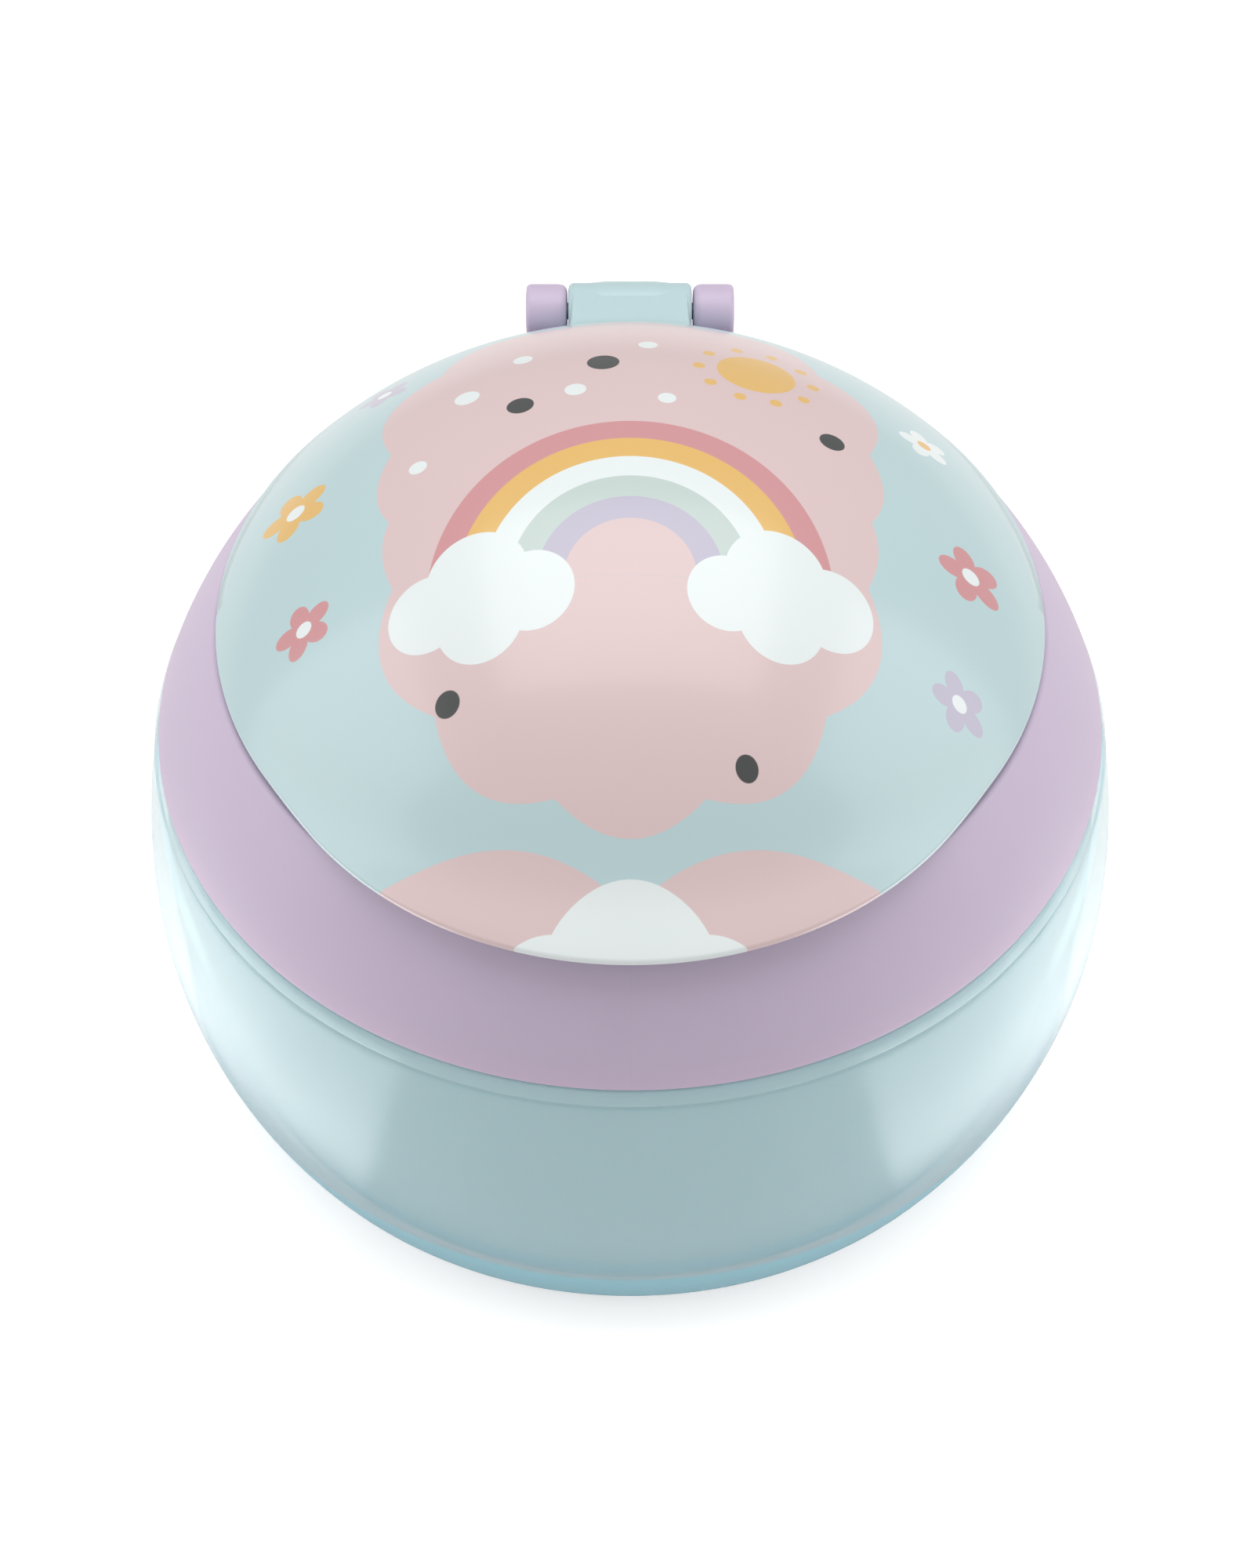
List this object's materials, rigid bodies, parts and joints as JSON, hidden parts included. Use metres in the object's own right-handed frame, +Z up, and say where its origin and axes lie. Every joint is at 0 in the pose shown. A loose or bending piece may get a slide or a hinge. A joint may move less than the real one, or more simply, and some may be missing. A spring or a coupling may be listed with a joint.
{
  "type": "toddler snack container",
  "caption": "Ball-shaped toddler snack cup: translucent bowl, screw collar with soft hand flaps, and a hinged dome lid with a thumb lip.",
  "frame": {"origin": "centre of the base, on the surface that the container stands on", "axes": "+Z up; -Y to the front, where the thumb lip is; +Y to the hinge; +X to the right as seen from the front"},
  "size_m": [0.113, 0.113, 0.0874],
  "materials": {
    "clear_aqua_plastic": "translucent, glossy, moulded",
    "lilac_plastic": "opaque satin, moulded",
    "aqua_plastic": "opaque, softly glossy, moulded",
    "printed_film": "glossy printed film moulded into the dome",
    "soft_silicone": "soft, matt, slightly translucent",
    "pin_steel": "plain drawn wire"
  },
  "bodies": {
    "bowl": {"bowl": "clear_aqua_plastic"},
    "seal": {"rim_seal": "soft_silicone"},
    "collar": {"collar": "lilac_plastic", "flap_ring": "soft_silicone", "hinge_pin": "pin_steel"},
    "lid": {"lid": "aqua_plastic", "lid_label": "printed_film"},
    "flap_1": {"flap_1": "soft_silicone"},
    "flap_2": {"flap_2": "soft_silicone"},
    "flap_3": {"flap_3": "soft_silicone"},
    "flap_4": {"flap_4": "soft_silicone"},
    "flap_5": {"flap_5": "soft_silicone"},
    "flap_6": {"flap_6": "soft_silicone"}
  },
  "joints": [
    {"name": "collar_lift", "type": "slide", "parent": "bowl", "child": "seal", "axis": [0, 0, 1], "range_m": [0, 0.0034]},
    {"name": "collar_turn", "type": "hinge", "parent": "seal", "child": "collar", "pos_m": [0, 0, 0.05658], "axis": [0, 0, 1], "range_deg": [0, 110]},
    {"name": "lid_hinge", "type": "hinge", "parent": "collar", "child": "lid", "pos_m": [0, 0.04955, 0.0643], "axis": [-1, 0, 0], "range_deg": [0, 115]},
    {"name": "flap_1_bend", "type": "hinge", "parent": "collar", "child": "flap_1", "pos_m": [0.03048, 0, 0.0594], "axis": [0, -1, 0], "range_deg": [-45, 80], "stiffness_Nm_per_rad": 0.003},
    {"name": "flap_2_bend", "type": "hinge", "parent": "collar", "child": "flap_2", "pos_m": [0.01524, 0.02639, 0.0594], "axis": [0.866, -0.5, 0], "range_deg": [-45, 80], "stiffness_Nm_per_rad": 0.003},
    {"name": "flap_3_bend", "type": "hinge", "parent": "collar", "child": "flap_3", "pos_m": [-0.01524, 0.02639, 0.0594], "axis": [0.866, 0.5, 0], "range_deg": [-45, 80], "stiffness_Nm_per_rad": 0.003},
    {"name": "flap_4_bend", "type": "hinge", "parent": "collar", "child": "flap_4", "pos_m": [-0.03048, 0, 0.0594], "axis": [0, 1, 0], "range_deg": [-45, 80], "stiffness_Nm_per_rad": 0.003},
    {"name": "flap_5_bend", "type": "hinge", "parent": "collar", "child": "flap_5", "pos_m": [-0.01524, -0.02639, 0.0594], "axis": [-0.866, 0.5, 0], "range_deg": [-45, 80], "stiffness_Nm_per_rad": 0.003},
    {"name": "flap_6_bend", "type": "hinge", "parent": "collar", "child": "flap_6", "pos_m": [0.01524, -0.02639, 0.0594], "axis": [-0.866, -0.5, 0], "range_deg": [-45, 80], "stiffness_Nm_per_rad": 0.003}
  ],
  "couplings": [
    {"joint": "collar_lift", "follows": "collar_turn", "m_per_rad": 0.0017507}
  ]
}
